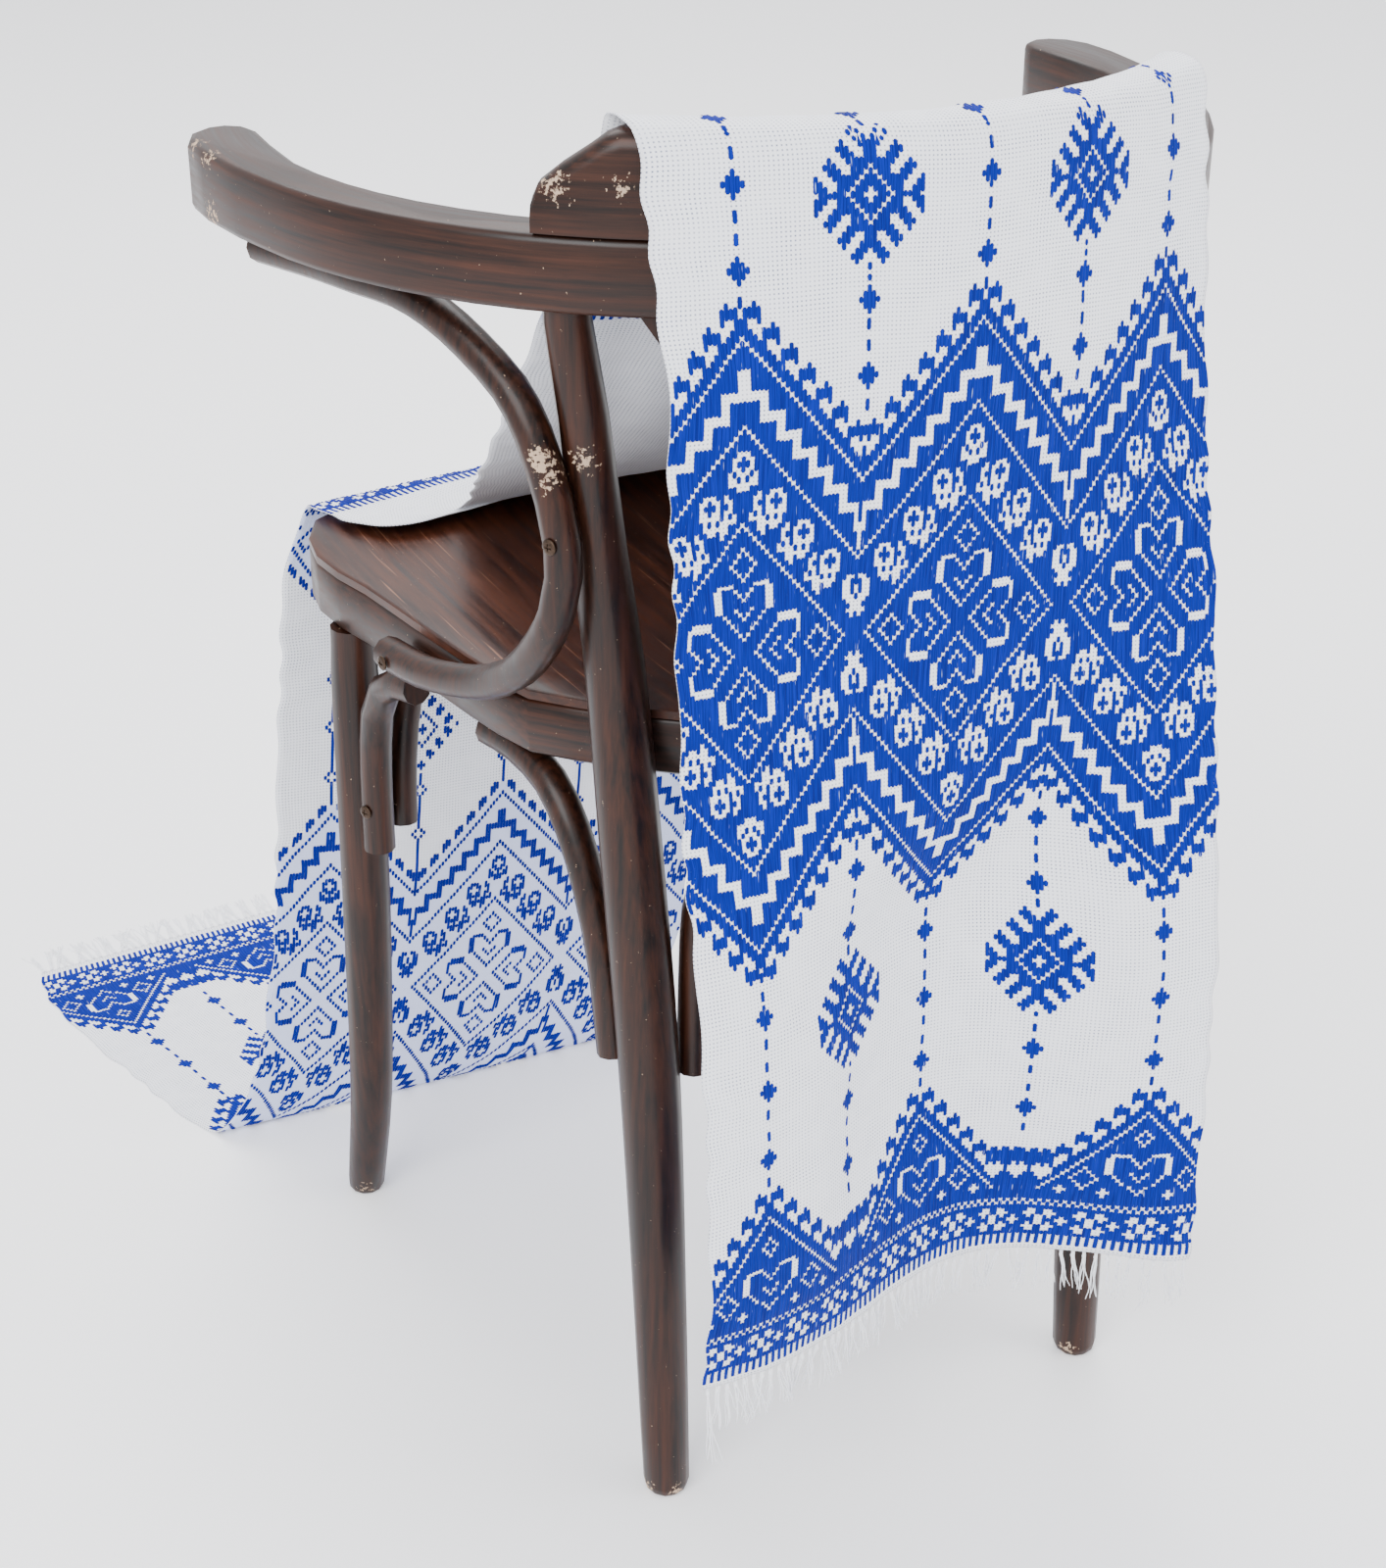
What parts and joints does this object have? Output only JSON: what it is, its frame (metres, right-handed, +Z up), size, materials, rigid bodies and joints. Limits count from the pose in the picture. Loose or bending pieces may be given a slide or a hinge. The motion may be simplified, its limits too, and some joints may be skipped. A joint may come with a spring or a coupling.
{
  "type": "rushnyk ritual towel on bentwood armchair",
  "caption": "Long woven towel with blue patterned bands and fringed ends, draped over the crest, seat front and floor of a dark bentwood armchair.",
  "frame": {"origin": "centre of the bounding box's underside, on the floor", "axes": "+Z up, +X along the chair's back, +Y from the chair's back towards its front and the towel's far end"},
  "size_m": [0.6059, 0.8349, 0.7776],
  "materials": {
    "stained_wood": "satin dark walnut stain",
    "seat_wood": "satin walnut stain, scratched",
    "dark_steel": "blackened",
    "cotton_cloth": "sheer plain weave with blue warp floats",
    "cotton_fringe": "knotted cotton bundles"
  },
  "bodies": {
    "root": {"arm_rail": "stained_wood", "crest_block": "stained_wood", "back_splat": "stained_wood", "seat_ring": "stained_wood", "rear_leg_left": "stained_wood", "rear_leg_right": "stained_wood", "front_leg_left": "stained_wood", "front_leg_right": "stained_wood", "arm_support_left": "stained_wood", "arm_support_right": "stained_wood", "side_arch_left": "stained_wood", "side_arch_right": "stained_wood", "back_arch_left": "stained_wood", "back_arch_right": "stained_wood", "side_knee_left": "stained_wood", "side_knee_right": "stained_wood", "front_knee_left": "stained_wood", "front_knee_right": "stained_wood", "seat_panel": "seat_wood", "screw_arm_support_upper_left": "dark_steel", "screw_arm_support_upper_right": "dark_steel", "screw_arm_support_lower_left": "dark_steel", "screw_arm_support_lower_right": "dark_steel", "screw_side_knee_left": "dark_steel", "screw_side_knee_right": "dark_steel", "towel_cloth": "cotton_cloth", "fringe_back": "cotton_fringe", "fringe_floor": "cotton_fringe"}
  },
  "joints": []
}
